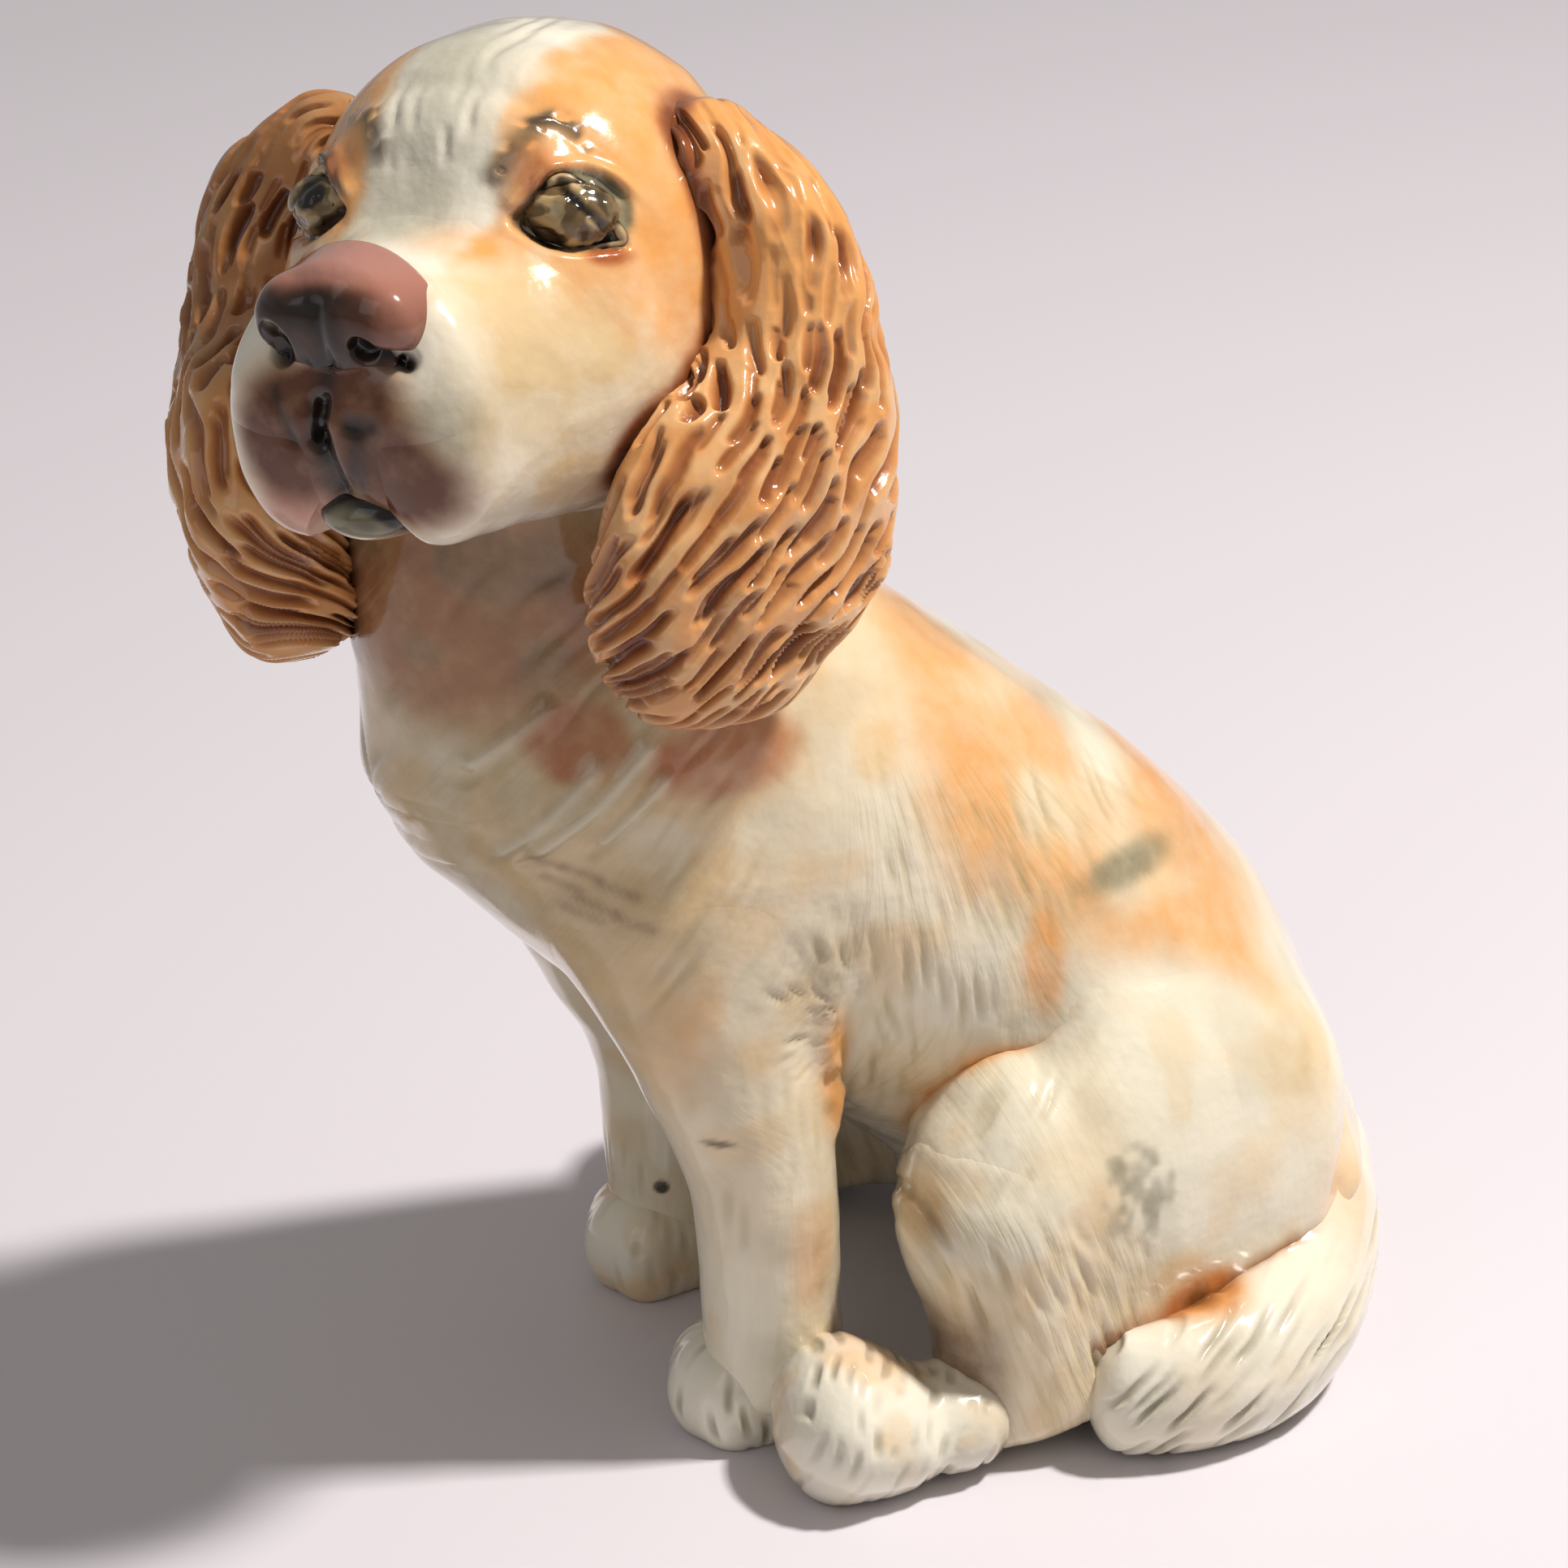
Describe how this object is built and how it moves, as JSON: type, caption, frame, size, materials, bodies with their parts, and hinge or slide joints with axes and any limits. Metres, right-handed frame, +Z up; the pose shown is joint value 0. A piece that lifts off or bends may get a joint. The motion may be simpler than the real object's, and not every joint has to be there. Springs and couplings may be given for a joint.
{
  "type": "ceramic dog sculpture",
  "caption": "Seated spaniel in glazed stoneware, head turned to its left, with long gouged ears, a plumed tail round the haunch and a body hollowed from below.",
  "frame": {"origin": "on the shelf that the figure sits on, under the middle of its bounding box", "axes": "+Z up from the shelf, -Y the way that the chest faces, +X the dog's left side"},
  "size_m": [0.1056, 0.1554, 0.1874],
  "materials": {
    "cream_glaze": "glossy cream glaze with tan and orange washes",
    "white_glaze": "glossy white glaze with grey-green in the cut strokes",
    "orange_glaze": "glossy orange wash either side of a white blaze",
    "russet_glaze": "glossy red-brown glaze pooled in the gouges, tan on the ridges",
    "pink_glaze": "glossy pink-brown glaze, dark at the nostrils",
    "green_glaze": "glossy grey-green glaze",
    "dark_glaze": "glossy dark brown glaze",
    "olive_glaze": "glossy olive-brown glaze"
  },
  "bodies": {
    "root": {"torso": "cream_glaze", "neck": "cream_glaze", "foreleg_left": "cream_glaze", "foreleg_right": "cream_glaze", "haunch_left": "cream_glaze", "haunch_right": "cream_glaze", "hock_left": "cream_glaze", "hock_right": "cream_glaze", "muzzle": "white_glaze", "flew_left": "white_glaze", "flew_right": "white_glaze", "forepaw_left": "white_glaze", "forepaw_right": "white_glaze", "hind_foot_left": "white_glaze", "hind_foot_right": "white_glaze", "tail": "white_glaze", "cranium": "orange_glaze", "ear_left": "russet_glaze", "ear_right": "russet_glaze", "nose": "pink_glaze", "chin": "green_glaze", "eye_left": "dark_glaze", "eye_right": "dark_glaze", "eyelid_left": "olive_glaze", "eyelid_right": "olive_glaze"}
  },
  "joints": []
}
